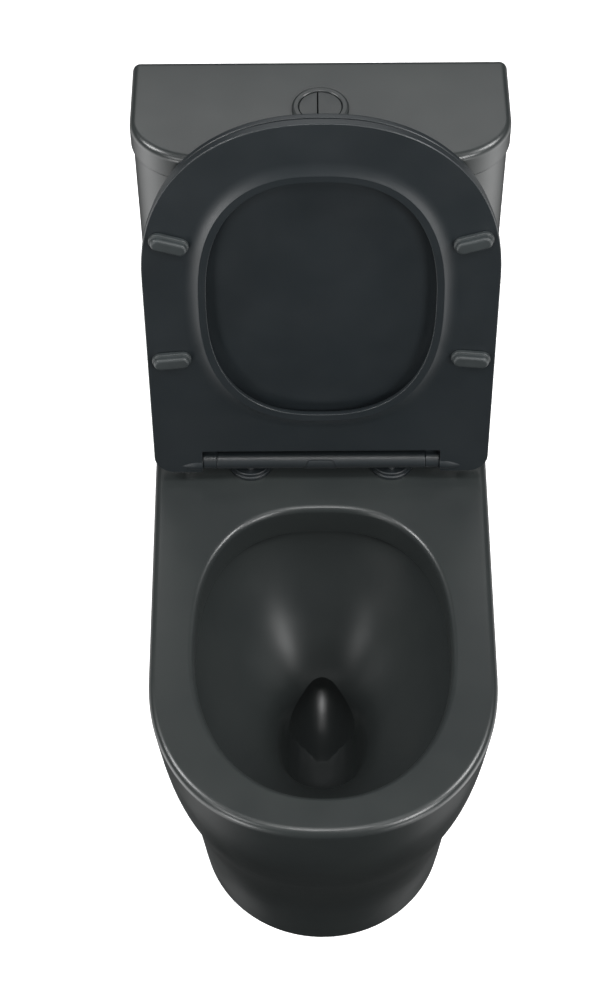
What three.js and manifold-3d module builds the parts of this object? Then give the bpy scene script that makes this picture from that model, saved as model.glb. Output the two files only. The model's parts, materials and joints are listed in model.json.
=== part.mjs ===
// Close coupled toilet: a back-to-wall pan, a cistern bolted on top of it, and a slim seat and lid on a
// soft-close hinge bar. Millimetres, +Z up, front towards -Y, the wall at +Y. The origin is on the floor, in
// the middle of the toilet's plan. The seat and the lid are modelled shut and stand raised in the assembly.

import * as THREE from 'three';
import { mergeVertices } from 'three/addons/utils/BufferGeometryUtils.js';
import Module from 'manifold-3d';

const wasm = await Module();
wasm.setup();

// ---- driving dimensions -----------------------------------------------------------------------------

const gap = 0.3; // left between pieces that touch

const length = 662; // wall to the front of the pan
const rimHeight = 415.3;
const rimHalfWidth = 181.5; // where the pan's front curve starts
const deckHalfWidth = 186; // at the wall
const rimShoulder = 470; // distance from the wall where the front curve starts
const rimRound = 8;
const footHalfWidth = 139;
const footShoulder = 428;
const footLength = 567;
const panWall = 14;
const deckThickness = 20;

const bowlCentre = 439; // distance from the wall
const bowlHalfWidth = 134;
const bowlHalfLength = 179;
const bowlLip = 40; // depth of the upright wall under the rim
const bowlUndercut = 6;
const ceramicShell = 12;
const sumpCentre = 425;
const sumpHalfWidth = 46;
const sumpHalfLength = 58;
const sumpTop = 215; // height above the floor
const sumpFloor = 132;
const trapRadius = 38;
const outletHeight = 185;

const cisternHalfWidth = 190;
const cisternDepth = 144.7;
const cornerWidth = 75; // the front corners are quarter ellipses
const cornerDepth = 60;
const cisternTop = 827.6;
const lidThickness = 30.2;
const lidOverhang = 2.5; // of the cistern lid beyond the tank
const lidSeam = 1.9;
const tankBase = rimHeight + 3.3;
const tankWall = 11;
const tankFloor = 14;
const valveFromWall = 72; // flush valve, coupling bolts and inlet stand on this line
const inletX = -130;
const boltX = 75;

const buttonFromWall = 73;
const bezelRadius = 28.6;
const buttonRadius = 21.3;
const buttonSplit = -2.7; // the small button lies on the -X side of this line
const rodX = { half: -11.5, full: 8.5 };

const hingeFromWall = 207.9;
const hingeHeight = rimHeight + 22;
const raisedAngle = 97.34; // degrees from shut to leaning back against the cistern
const barrelRadius = 9.75;
const barrelHalfLength = 113.8;
const earOuter = 129.2; // the lid's hinge ears reach from the barrel to here
const lugOuter = 151; // and the seat's hinge lugs from the ears to here
const discX = 77.5;
const discFromWall = 196;

const seatHalfWidth = 181.85;
const seatLength = 453.7; // hinge axis to the front
const seatRear = -9;
const seatShoulder = 262;
const seatNotch = 22; // from the axis to the seat's edge in front of the hinge bar
const seatLow = -10.5; // of the seat's underside, from the axis, when shut
const seatHigh = -0.5;
const holeCentre = 232.7;
const holeHalfLength = 153.9;
const holeHalfWidth = 117.5;
const seatLip = 3.2; // height of the crest around the hole, on the underside
const lipSlope = 15; // width of its outer slope
const lipBand = 8; // from the crest to the hole's edge
const topRoll = 12; // width of the rounding into the hole, on the upper side
const lidLow = 3;
const lidHigh = 11.5;
const lidInset = 2;

// ---- materials --------------------------------------------------------------------------------------

const finish = (color, roughness, metalness = 0) => () =>
  new THREE.MeshStandardMaterial({ color, roughness, metalness, flatShading: true });
const blackCeramic = finish(0x2a2e2e, 0.42);
const blackPlastic = finish(0x25292a, 0.5);
const whitePlastic = finish(0xd9dcda, 0.5);
const greyPlastic = finish(0x8d9294, 0.5);
const blackRubber = finish(0x1a1b1b, 0.85);
const steel = finish(0xb4b7b8, 0.3, 1);
const brass = finish(0xb59550, 0.35, 1);

// ---- helpers ----------------------------------------------------------------------------------------

const mix = (a, b, t) => a + (b - a) * t;
const fromWall = (distance) => length / 2 - distance;
const wallY = fromWall(0);
const degrees = THREE.MathUtils.degToRad;

function toSolid(geometry) {
  const bare = geometry.clone();
  bare.deleteAttribute('normal');
  bare.deleteAttribute('uv');
  const merged = mergeVertices(bare, 1e-4);
  const mesh = new wasm.Mesh({
    numProp: 3,
    vertProperties: new Float32Array(merged.attributes.position.array),
    triVerts: new Uint32Array(merged.index.array),
  });
  return new wasm.Manifold(mesh);
}

function toGeometry(manifold) {
  const mesh = manifold.getMesh();
  const geometry = new THREE.BufferGeometry();
  geometry.setAttribute('position', new THREE.BufferAttribute(mesh.vertProperties, 3));
  geometry.setIndex(new THREE.BufferAttribute(mesh.triVerts, 1));
  geometry.computeVertexNormals();
  return geometry;
}

function shape(base, { within = [], cut = [], add = [], cutLast = [] } = {}) {
  let body = toSolid(base);
  for (const piece of within) body = body.intersect(toSolid(piece));
  for (const piece of cut) body = body.subtract(toSolid(piece));
  for (const piece of add) body = body.add(toSolid(piece));
  for (const piece of cutLast) body = body.subtract(toSolid(piece));
  return toGeometry(body);
}

// A closed skin over rings of points that all have the same count, each end closed by a fan from its middle.
function loft(rings) {
  const count = rings[0].length;
  const positions = rings.flat(2);
  const index = [];
  for (let level = 0; level < rings.length - 1; level++) {
    for (let i = 0; i < count; i++) {
      const a = level * count + i;
      const b = level * count + ((i + 1) % count);
      index.push(a, b, b + count, a, b + count, a + count);
    }
  }
  for (const level of [0, rings.length - 1]) {
    const middle = [0, 1, 2].map((axis) => rings[level].reduce((sum, p) => sum + p[axis], 0) / count);
    const tip = positions.length / 3;
    positions.push(...middle);
    for (let i = 0; i < count; i++) {
      const a = level * count + i;
      const b = level * count + ((i + 1) % count);
      index.push(tip, ...(level === 0 ? [b, a] : [a, b]));
    }
  }
  const geometry = new THREE.BufferGeometry();
  geometry.setAttribute('position', new THREE.Float32BufferAttribute(positions, 3));
  geometry.setIndex(index);
  return geometry;
}

const atHeight = (outline, z) => outline.map(([x, y]) => [x, y, z]);

function superArc(centreX, centreY, halfX, halfY, exponent, start, end, steps) {
  const points = [];
  for (let i = 0; i <= steps; i++) {
    const angle = degrees(mix(start, end, i / steps));
    const [c, s] = [Math.cos(angle), Math.sin(angle)];
    points.push([
      centreX + halfX * Math.sign(c) * Math.abs(c) ** (2 / exponent),
      centreY + halfY * Math.sign(s) * Math.abs(s) ** (2 / exponent),
    ]);
  }
  return points;
}

function circle(x, y, radius, sides = 24) {
  return superArc(x, y, radius, radius, 2, 0, 360 - 360 / sides, sides - 1);
}

function cylinder(x, y, low, high, radius, sides = 20) {
  const outline = circle(x, y, radius, sides);
  return loft([atHeight(outline, low), atHeight(outline, high)]);
}

function box(x, y, z) {
  return new THREE.BoxGeometry(x[1] - x[0], y[1] - y[0], z[1] - z[0]).translate(
    (x[0] + x[1]) / 2,
    (y[0] + y[1]) / 2,
    (z[0] + z[1]) / 2,
  );
}

// A turned piece standing at x, y; the profile lists radius and height and closes on itself.
function turned(x, y, profile, sides = 20) {
  const points = [...profile, profile[0]].map(([r, z]) => new THREE.Vector2(r, z));
  return new THREE.LatheGeometry(points, sides).rotateX(Math.PI / 2).translate(x, y, 0);
}

function ring(x, y, inner, outer, low, high, sides = 20) {
  const profile = [[inner, low], [outer, low], [outer, high], [inner, high]];
  return turned(x, y, profile, sides);
}

// A nut with flat sides and a round hole.
function nut(x, y, inner, outer, low, high, flats) {
  const hole = cylinder(x, y, low - 1, high + 1, inner);
  return shape(cylinder(x, y, low, high, outer, flats), { cut: [hole] });
}

// A bar lying along X between two ends, on the line y, z.
function crossBar(ends, y, z, radius, sides = 20) {
  return cylinder(0, 0, ends[0], ends[1], radius, sides)
    .rotateY(Math.PI / 2)
    .translate(0, y, z);
}

// A round pipe through points given as [distance from the wall, height], in the plane x = 0.
function pipe(route, radius, sides, steps) {
  const curve = new THREE.CatmullRomCurve3(route.map(([d, z]) => new THREE.Vector3(0, fromWall(d), z)));
  const rings = [];
  for (let i = 0; i <= steps; i++) {
    const centre = curve.getPoint(i / steps);
    const along = curve.getTangent(i / steps);
    rings.push(
      circle(0, 0, radius, sides).map(([across, rise]) => [
        across,
        centre.y + rise * along.z,
        centre.z - rise * along.y,
      ]),
    );
  }
  return loft(rings);
}

function helix(x, y, low, high, coilRadius, wireRadius, turns) {
  const points = [];
  const steps = turns * 7;
  for (let i = 0; i <= steps; i++) {
    const angle = (i / 7) * 2 * Math.PI;
    const z = mix(low + wireRadius, high - wireRadius, i / steps);
    points.push(new THREE.Vector3(x + coilRadius * Math.cos(angle), y + coilRadius * Math.sin(angle), z));
  }
  const section = new THREE.Shape().absarc(0, 0, wireRadius, 0, 2 * Math.PI);
  const extrudePath = new THREE.CatmullRomCurve3(points);
  return new THREE.ExtrudeGeometry(section, { steps, extrudePath, bevelEnabled: false, curveSegments: 2 });
}

const toilet = new THREE.Group();

function piece(name, geometry, material, parent = toilet) {
  const mesh = new THREE.Mesh(geometry, material());
  mesh.name = name;
  parent.add(mesh);
  return mesh;
}

const sides = [
  ['left', -1],
  ['right', 1],
];

// ---- pan --------------------------------------------------------------------------------------------

// The pan's outline at a height: straight sides from behind, then a rounded front. The sides flare evenly
// from the foot to the rim, and the front swells out in between.
function panOutline(z, inset, back = wallY) {
  const flare = Math.min(1, Math.max(0, z / rimHeight));
  const reach = THREE.MathUtils.smoothstep(flare, 0.13, 0.9);
  const shoulder = mix(footShoulder, rimShoulder, reach);
  const front = mix(footLength, length, reach) - inset;
  const halfWidth = mix(footHalfWidth, rimHalfWidth, flare) - inset;
  const backHalf = mix(footHalfWidth, deckHalfWidth, flare) - inset;
  const exponent = mix(2, 2.25, flare);
  const nose = superArc(0, fromWall(shoulder), halfWidth, front - shoulder, exponent, 180, 360, 20);
  return [[-backHalf, back], ...nose, [backHalf, back]];
}

function panBody() {
  const rings = [];
  for (const z of [0, 80, 160, 230, 300, 360]) rings.push(atHeight(panOutline(z, 0), z));
  for (let i = 0; i <= 3; i++) {
    const angle = (i / 3) * (Math.PI / 2);
    const inset = rimRound * (1 - Math.cos(angle));
    const z = rimHeight - rimRound * (1 - Math.sin(angle));
    rings.push(atHeight(panOutline(z, inset), z));
  }
  return loft(rings);
}

function panHollow() {
  const heights = [-1, 110, 200, 290, rimHeight - deckThickness];
  return loft(heights.map((z) => atHeight(panOutline(z, panWall, wallY + 5), z)));
}

function bowlOutline(centre, halfWidth, halfLength) {
  const back = superArc(0, fromWall(centre), halfWidth, halfLength, 2.55, 0, 180, 14);
  const front = superArc(0, fromWall(centre), halfWidth, halfLength, 2.2, 180, 360, 14);
  return [...back.slice(0, -1), ...front.slice(0, -1)];
}

// The sloping bowl and its sump, from below the rim's upright wall down. grow makes the outside of the shell.
// The slope runs into the sump's walls over a soft rounded edge.
function bowlRing(z, grow) {
  const slopeTop = rimHeight - bowlLip - 4;
  const depth = (slopeTop - z) / (slopeTop - sumpTop);
  const slope = depth < 1 ? depth ** 1.6 : 1 + 1.6 * (depth - 1);
  const soften = (value, least, width) => least + width * Math.log(1 + Math.exp((value - least) / width));
  const outline = bowlOutline(
    mix(bowlCentre, sumpCentre, Math.min(1, slope)),
    soften(mix(bowlHalfWidth + bowlUndercut, sumpHalfWidth, slope), sumpHalfWidth, 12) + grow,
    soften(mix(bowlHalfLength + bowlUndercut, sumpHalfLength, slope), sumpHalfLength, 15) + grow,
  );
  return atHeight(outline, z);
}

function bowlRings(grow) {
  const floorRings = [
    [sumpFloor - grow, 0.35],
    [sumpFloor + 9 - grow, 0.75],
    [sumpFloor + 30 - grow, 0.92],
  ];
  const rings = floorRings.map(([z, scale]) =>
    atHeight(bowlOutline(sumpCentre, sumpHalfWidth * scale + grow, sumpHalfLength * scale + grow), z),
  );
  for (const z of [185, 203, 219, 236, 256, 284, 312, 341, 371.3]) rings.push(bowlRing(z, grow));
  return rings;
}

function bowlCavity() {
  const rings = bowlRings(0);
  const top = rimHeight - bowlLip;
  rings.push(atHeight(bowlOutline(bowlCentre, bowlHalfWidth, bowlHalfLength), top));
  for (let i = 0; i <= 3; i++) {
    const angle = (i / 3) * (Math.PI / 2);
    const flare = 7 * (1 - Math.cos(angle));
    const z = rimHeight - 7 * (1 - Math.sin(angle));
    rings.push(atHeight(bowlOutline(bowlCentre, bowlHalfWidth + flare, bowlHalfLength + flare), z));
  }
  rings.push(atHeight(bowlOutline(bowlCentre, bowlHalfWidth + 7, bowlHalfLength + 7), rimHeight + 5));
  return loft(rings);
}

function bowlShell() {
  const outside = bowlUndercut + ceramicShell;
  const top = bowlOutline(bowlCentre, bowlHalfWidth + outside, bowlHalfLength + outside);
  return loft([...bowlRings(ceramicShell), atHeight(top, rimHeight - deckThickness / 2)]);
}

const trapRoute = (end) => [
  [410, 170], [365, 172], [318, 200], [280, 236], [235, 240], [195, 215], [150, 187], [110, outletHeight],
  [end, outletHeight],
];
const flushRoute = [[valveFromWall, 384], [valveFromWall + 8, 355], [110, 344], [180, 344], [245, 354]];

function makePan() {
  const deckUnderside = rimHeight - deckThickness;
  const inletWell = cylinder(0, fromWall(valveFromWall), 376, rimHeight + 5, 49);
  const inletBoss = cylinder(0, fromWall(valveFromWall), 364, deckUnderside + 5, 57);
  const flushSlot = box([-36, 36], [fromWall(266), fromWall(238)], [362, 372]);
  const holes = sides.flatMap(([, side]) => [
    cylinder(side * discX, fromWall(discFromWall), deckUnderside - 5, rimHeight + 5, 8),
    cylinder(side * boltX, fromWall(valveFromWall), deckUnderside - 5, rimHeight + 5, 7, 16),
    crossBar([side * 120, side * 160].sort((a, b) => a - b), fromWall(150), 45, 4, 16),
    crossBar([side * 141.5, side * 160].sort((a, b) => a - b), fromWall(150), 45, 9.3),
  ]);
  holes.push(cylinder(inletX, fromWall(valveFromWall), deckUnderside - 5, rimHeight + 5, 24));
  return shape(panBody(), {
    cut: [panHollow()],
    add: [
      bowlShell(),
      pipe(trapRoute(25), trapRadius + ceramicShell, 16, 14),
      pipe(flushRoute, 32, 12, 7),
      inletBoss,
    ],
    cutLast: [
      bowlCavity(),
      pipe(trapRoute(20), trapRadius, 16, 14),
      pipe(flushRoute, 23, 12, 7),
      inletWell,
      flushSlot,
      ...holes,
    ],
  });
}

function addPan() {
  piece('pan', makePan(), blackCeramic);
  const outlet = trapRadius + ceramicShell;
  const slack = 0.7; // between the spigot and the round collar
  const [inner, outer] = [outlet + slack, outlet + 6];
  const collar = turned(0, 0, [[inner, 4.3], [outer, 4.3], [outer, 45], [outlet + 3, 45], [outlet + 3, 34],
    [inner, 34]], 24);
  const seal = turned(0, 0, [[inner, 34.3], [outlet + 2.7, 34.3], [outlet + 2.7, 44.7], [inner, 44.7]], 24);
  const tail = turned(0, 0, [[outlet - 8, 0], [outlet + 4, 0], [outlet + 4, 4], [outlet - 8, 4]], 24);
  const shoulder = ring(0, 0, inner, outlet + 4, 3.9, 4.5, 24);
  const lay = (geometry) => geometry.rotateX(Math.PI / 2).translate(0, wallY, outletHeight);
  piece('pan_connector', lay(shape(collar, { add: [tail, shoulder] })), greyPlastic);
  piece('pan_connector_seal', lay(seal), blackRubber);
  for (const [name, side] of sides) {
    const span = (a, b) => [side * a, side * b].sort((p, q) => p - q);
    const foot = box(span(86, 124), [fromWall(168), fromWall(132)], [0, 4]);
    const upright = box(span(120, 124), [fromWall(168), fromWall(132)], [0, 64]);
    const footHole = cylinder(side * 102, fromWall(150), -1, 5, 4.5, 16);
    const screwHole = crossBar(span(118, 126), fromWall(150), 45, 3.4, 16);
    const bracket = shape(foot, { add: [upright], cutLast: [footHole, screwHole] });
    piece(`floor_bracket_${name}`, bracket, greyPlastic);
    const shank = crossBar(span(112, 143), fromWall(150), 45, 3, 16);
    const cap = crossBar(span(141.8, 147), fromWall(150), 45, 9);
    piece(`side_screw_${name}`, shape(shank, { add: [cap] }), blackPlastic);
  }
}

// ---- cistern ----------------------------------------------------------------------------------------

function cisternOutline(inset) {
  const [a, b] = [cornerWidth - inset, cornerDepth - inset];
  const cornerX = cisternHalfWidth - cornerWidth;
  const cornerY = fromWall(cisternDepth - cornerDepth);
  const round = Math.max(2, 8 - inset);
  const rear = [cisternHalfWidth - inset - round, wallY - inset - round];
  return [
    ...superArc(-rear[0], rear[1], round, round, 2, 90, 180, 3),
    ...superArc(-cornerX, cornerY, a, b, 2, 180, 270, 10),
    ...superArc(cornerX, cornerY, a, b, 2, 270, 360, 10),
    ...superArc(rear[0], rear[1], round, round, 2, 0, 90, 3),
  ];
}

const cisternBlock = (inset, low, high) =>
  loft([atHeight(cisternOutline(inset), low), atHeight(cisternOutline(inset), high)]);

const lidBase = cisternTop - lidThickness;
const tankTop = lidBase - lidSeam;
const insideFloor = tankBase + tankFloor;

function makeTank() {
  const y = fromWall(valveFromWall);
  const through = (x, radius) => cylinder(x, y, tankBase - 5, insideFloor + 5, radius);
  return shape(cisternBlock(lidOverhang, tankBase, tankTop), {
    cut: [
      cisternBlock(lidOverhang + tankWall, insideFloor, tankTop + 5),
      through(0, 32),
      through(inletX, 10.6),
      through(-boltX, 5),
      through(boltX, 5),
    ],
  });
}

function makeCisternLid() {
  const round = 8;
  const rings = [atHeight(cisternOutline(0), lidBase)];
  for (let i = 0; i <= 3; i++) {
    const angle = (i / 3) * (Math.PI / 2);
    const inset = round * (1 - Math.cos(angle));
    rings.push(atHeight(cisternOutline(inset), cisternTop - round * (1 - Math.sin(angle))));
  }
  const spigot = lidOverhang + tankWall + 1.5;
  return shape(loft(rings), {
    add: [cisternBlock(spigot, lidBase - 12, lidBase + 3)],
    cutLast: [
      cisternBlock(spigot + 6, lidBase - 13, cisternTop - 10),
      cylinder(0, fromWall(buttonFromWall), lidBase - 20, cisternTop + 5, 24.5, 32),
    ],
  });
}

function addCoupling() {
  const y = fromWall(valveFromWall);
  piece('doughnut_gasket', ring(0, y, 31.6, 46, 376.3, 405.8), blackRubber);
  for (const [name, side] of sides) {
    const x = side * boltX;
    const shank = cylinder(x, y, 358, insideFloor + 5, 4, 16);
    const head = cylinder(x, y, insideFloor + 4.6, insideFloor + 10, 8, 6);
    piece(`coupling_bolt_${name}`, shape(shank, { add: [head] }), brass);
    const washer = ring(x, y, 4.3, 10, insideFloor + gap, insideFloor + 4.3);
    piece(`bolt_rubber_washer_${name}`, washer, blackRubber);
    const wings = box([x - 15, x + 15], [y - 1.6, y + 1.6], [372, 389]);
    const flange = cylinder(x, y, 391, 395, 12);
    const nut = shape(cylinder(x, y, 380, 392, 8, 16), {
      add: [wings, flange],
      cutLast: [cylinder(x, y, 370, 400, 4.3, 16)],
    });
    piece(`wing_nut_${name}`, nut, brass);
    const padX = side * 167;
    const pad = box([padX - 8, padX + 8], [fromWall(80), fromWall(15)], [rimHeight + gap, tankBase - gap]);
    piece(`cushion_pad_${name}`, pad, blackRubber);
  }
}

// ---- flush valve ------------------------------------------------------------------------------------

function addFlushValve() {
  const y = fromWall(valveFromWall);
  const floor = insideFloor;
  const base = [[26, 392], [31.2, 392], [31.2, floor + 3.6], [46, floor + 3.6], [46, floor + 8],
    [29, floor + 8], [29, floor + 14], [26, floor + 14]];
  piece('flush_valve_base', turned(0, y, base), whitePlastic);
  piece('flush_valve_washer', ring(0, y, 31.6, 45, floor + gap, floor + 3.3), blackRubber);
  piece('flush_valve_backnut', nut(0, y, 31.8, 43, tankBase - 12.3, tankBase - gap, 8), greyPlastic);

  const cageLow = floor + 8.3;
  const cage = [[38, cageLow], [41, cageLow], [41, 600], [26, 622], [18.5, 622], [18.5, 618], [38, 596]];
  const windows = [0, 45, 90, 135].map((turn) =>
    box([-60, 60], [-11, 11], [cageLow + 8, cageLow + 62]).rotateZ(degrees(turn)).translate(0, y, 0),
  );
  const legs = sides.map(([, side]) => box([side * 30 - 3, side * 30 + 3], [y - 5, y + 5], [606, 731]));
  const bridge = turned(0, y, [[18.5, 729], [34, 729], [34, 737], [18.5, 737]]);
  const frame = shape(turned(0, y, cage), { cut: windows, add: [...legs, bridge] });
  piece('flush_valve_cage', frame, whitePlastic);

  const sealLow = floor + 14.3;
  const stem = [[13.5, sealLow + 2.9], [34, sealLow + 2.9], [34, sealLow + 7], [16.5, sealLow + 10],
    [16.5, 700], [13.5, 700]];
  piece('flush_valve_stem', turned(0, y, stem), greyPlastic);
  piece('flush_valve_seal', ring(0, y, 14, 33, sealLow, sealLow + 2.6), blackRubber);
}

// ---- fill valve -------------------------------------------------------------------------------------

function addFillValve() {
  const y = fromWall(valveFromWall);
  const body = [[6, 366], [10, 366], [10, insideFloor + 3.6], [17, insideFloor + 3.6], [17, insideFloor + 9],
    [12, insideFloor + 9], [12, 690], [20, 690], [20, 716], [17, 724], [0, 724], [0, 400], [6, 400]];
  piece('fill_valve_body', turned(inletX, y, body), whitePlastic);
  piece('fill_valve_washer', ring(inletX, y, 10.3, 16, insideFloor + gap, insideFloor + 3.3), blackRubber);
  piece('fill_valve_backnut', nut(inletX, y, 10.4, 17, tankBase - 12.3, tankBase - gap, 6), brass);
  const cup = ring(inletX, y, 13.5, 35, 560, 630);
  const rod = cylinder(inletX + 27, y, 629, 700, 2, 12);
  piece('float_cup', shape(cup, { add: [rod] }), greyPlastic);
}

// ---- flush buttons ----------------------------------------------------------------------------------

function halfDisc(keepSide, low, high) {
  const y = fromWall(buttonFromWall);
  const edge = buttonSplit + keepSide * 0.4;
  const away = [edge, edge - keepSide * 60].sort((a, b) => a - b);
  const otherSide = box(away, [y - 40, y + 40], [low - 1, high + 1]);
  return shape(cylinder(0, y, low, high, buttonRadius, 28), { cut: [otherSide] });
}

function addFlushButtons() {
  const y = fromWall(buttonFromWall);
  const top = cisternTop;
  const barrel = [[21.8, 798], [0, 798], [0, 794], [24, 794], [24, top + gap], [bezelRadius, top + gap],
    [bezelRadius, top + 2.5], [bezelRadius - 2, top + 4.4], [21.8, top + 4.4]];
  const rodHoles = Object.values(rodX).map((x) => cylinder(x, y, 790, 800, 3.9, 16));
  piece('flush_bezel', shape(turned(0, y, barrel, 28), { cut: rodHoles }), blackPlastic);
  piece('flush_bezel_nut', nut(0, y, 24.5, 33, 804, cisternTop - 10.3, 12), greyPlastic);
  const buttons = [
    ['half', -1],
    ['full', 1],
  ];
  for (const [name, side] of buttons) {
    piece(`${name}_flush_button`, halfDisc(side, top - 3.5, top + 3.6), blackPlastic);
    piece(`${name}_flush_rod`, cylinder(rodX[name], y, 746, top - 3.8, 3.6, 16), whitePlastic);
    piece(`${name}_flush_spring`, helix(rodX[name], y, 798.3, top - 4, 5.2, 0.7, 4), steel);
  }
}

// ---- hinge bar and its fixings ----------------------------------------------------------------------

function addHingeFixings() {
  for (const [name, side] of sides) {
    const [x, y] = [side * discX, fromWall(discFromWall)];
    const disc = [[0, rimHeight + gap], [24.5, rimHeight + gap], [24.5, rimHeight + 4],
      [22.8, rimHeight + 4.6], [22.8, rimHeight + 8], [21.6, rimHeight + 8.8], [0, rimHeight + 8.8]];
    const boltSocket = cylinder(x, y, rimHeight - 1, rimHeight + 5, 3.4, 16);
    piece(`hinge_disc_${name}`, shape(turned(x, y, disc), { cut: [boltSocket] }), blackPlastic);
    piece(`hinge_bolt_${name}`, cylinder(x, y, 350, rimHeight + 4.6, 3, 16), steel);
    piece(`hinge_sleeve_${name}`, ring(x, y, 3.3, 7.6, 360, rimHeight - gap, 14), blackRubber);
    const h = hingeHeight;
    const post = [[0, rimHeight + 9.1], [4.2, rimHeight + 9.1], [4.2, h - 2.1], [2.4, h - 2.1],
      [2.4, h + 2.1], [4.2, h + 2.1], [3.4, h + 4.4], [0, h + 4.4]];
    piece(`hinge_post_${name}`, turned(x, fromWall(hingeFromWall), post, 14), steel);
  }
}

function addHingeBar() {
  const [y, z] = [fromWall(hingeFromWall), hingeHeight];
  const postHoles = sides.map(([, side]) => cylinder(side * discX, y, z - 15, z, 4.8, 20));
  const buttonSlot = box([-19, 17.8], [y - 12, y + 0.3], [z - 6.6, z + 7.3]);
  const bar = shape(crossBar([-barrelHalfLength, barrelHalfLength], y, z, barrelRadius, 32), {
    cut: [crossBar([-120, 120], y, z, 7, 20), ...postHoles, buttonSlot],
  });
  piece('hinge_barrel', bar, blackPlastic);
  const buttonBlock = box([-18.6, 17.4], [y - 12, y - 3.4], [z - 6.3, z + 7]);
  const releaseButton = shape(crossBar([-30, 30], y, z, barrelRadius + 0.6, 32), { within: [buttonBlock] });
  piece('release_button', releaseButton, blackPlastic);
  for (const [name, side] of sides) {
    const span = (a, b) => [side * a, side * b].sort((p, q) => p - q);
    piece(`latch_bar_${name}`, crossBar(span(22.5, 74.4), y, z, 1.8, 12), steel);
    piece(`damper_${name}`, crossBar(span(86, 111.7), y, z, 6.7, 20), greyPlastic);
  }
}

// ---- seat and lid, modelled shut: x across, -y forward from the hinge axis, z up from it ------------

function coverOutline(inset) {
  const half = seatHalfWidth - inset;
  const corner = 22;
  const nose = superArc(0, -seatShoulder, half, seatLength - seatShoulder - inset, 2.25, 180, 360, 30);
  const rear = -(seatRear + inset) - corner;
  return [
    ...superArc(-half + corner, rear, corner, corner, 2, 90, 180, 5),
    ...nose,
    ...superArc(half - corner, rear, corner, corner, 2, 0, 90, 5),
  ];
}

function seatHole(grow) {
  return superArc(0, -holeCentre, holeHalfWidth + grow, holeHalfLength + grow, 2.5, 0, 350, 35);
}

function makeSeat() {
  const edge = 1.5;
  const plate = loft([
    atHeight(coverOutline(edge), seatLow),
    atHeight(coverOutline(0), seatLow + edge),
    atHeight(coverOutline(0), seatHigh - edge),
    atHeight(coverOutline(edge), seatHigh),
  ]);
  const crest = seatLow - seatLip;
  const lip = loft([
    atHeight(seatHole(lipBand), crest),
    atHeight(seatHole(lipBand + lipSlope * 0.35), seatLow - seatLip * 0.38),
    atHeight(seatHole(lipBand + lipSlope), seatLow),
    atHeight(seatHole(lipBand + lipSlope), seatLow + 1),
  ]);
  const hole = loft([
    atHeight(seatHole(0), crest - 1),
    atHeight(seatHole(0), crest + 1.5),
    atHeight(seatHole(topRoll * 0.1), mix(crest, seatHigh, 0.55)),
    atHeight(seatHole(topRoll * 0.4), mix(crest, seatHigh, 0.87)),
    atHeight(seatHole(topRoll), seatHigh),
    atHeight(seatHole(topRoll), seatHigh + 1),
  ]);
  const notch = box([-earOuter - gap, earOuter + gap], [-seatNotch, 30], [-20, 20]);
  const lugs = sides.flatMap(([, side]) => {
    const ends = [side * (earOuter + gap), side * (lugOuter - 1)].sort((a, b) => a - b);
    return [crossBar(ends, 0, 0, 9.6), crossBar(ends, -1, -3.4, 9)];
  });
  const sockets = crossBar([-149.4, 149.4], 0, 0, 3.8, 16);
  return shape(toGeometry(toSolid(plate).add(toSolid(lip))), {
    cut: [hole, notch],
    add: lugs,
    cutLast: [sockets],
  });
}

function makeLid() {
  const edge = 1.5;
  const plate = loft([
    atHeight(coverOutline(lidInset + edge), lidLow),
    atHeight(coverOutline(lidInset), lidLow + edge),
    atHeight(coverOutline(lidInset), lidHigh - 2 * edge),
    atHeight(coverOutline(lidInset + 2 * edge), lidHigh),
  ]);
  const notch = box([-lugOuter, lugOuter], [-11, 30], [-20, 20]);
  const ears = sides.flatMap(([, side]) => {
    const ends = [side * (barrelHalfLength + gap), side * earOuter].sort((a, b) => a - b);
    return [crossBar(ends, 0, 0, 9.6), box(ends, [-14, 0], [lidLow, 9])];
  });
  const sockets = crossBar([-lugOuter, lugOuter], 0, 0, 3.8, 16);
  return shape(plate, { cut: [notch], add: ears, cutLast: [sockets] });
}

// A rubber buffer with rounded ends, long across the seat, tilted by an angle about its middle.
function buffer(x, forward, tilt, low, high) {
  const [halfLong, radius] = [20.5, 9];
  const outline = (inset) => [
    ...superArc(halfLong - radius, 0, radius - inset, radius - inset, 2, -90, 90, 8),
    ...superArc(-halfLong + radius, 0, radius - inset, radius - inset, 2, 90, 270, 8),
  ];
  const step = mix(high, low, 0.45);
  const rings = [[low, 3], [low + 1.2, 1.8], [step, 1.8], [step + 0.8, 0], [high, 0]];
  return loft(rings.map(([z, inset]) => atHeight(outline(inset), z)))
    .rotateZ(degrees(tilt))
    .translate(x, -forward, 0);
}

function addCovers() {
  const raised = new THREE.Group();
  raised.position.set(0, fromWall(hingeFromWall), hingeHeight);
  raised.rotation.x = -degrees(raisedAngle);
  toilet.add(raised);
  piece('seat', makeSeat(), blackPlastic, raised);
  piece('toilet_lid', makeLid(), blackPlastic, raised);
  for (const [name, side] of sides) {
    const pinEnds = [side * 112, side * 149].sort((a, b) => a - b);
    piece(`hinge_pin_${name}`, crossBar(pinEnds, 0, 0, 3.5, 16), steel, raised);
    const front = buffer(side * 152, 312, side * -17, seatLow - 10.8, seatLow - gap);
    piece(`seat_buffer_front_${name}`, front, blackRubber, raised);
    const rear = buffer(side * 156, 158, side * 6, seatLow - 10.8, seatLow - gap);
    piece(`seat_buffer_rear_${name}`, rear, blackRubber, raised);
    const pad = cylinder(side * 148, -300, seatHigh + gap, lidLow - gap, 6, 16);
    piece(`lid_buffer_${name}`, pad, blackRubber, raised);
  }
}

addPan();
piece('cistern_tank', makeTank(), blackCeramic);
piece('cistern_lid', makeCisternLid(), blackCeramic);
addCoupling();
addFlushValve();
addFillValve();
addFlushButtons();
addHingeFixings();
addHingeBar();
addCovers();

export default toilet;
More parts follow.
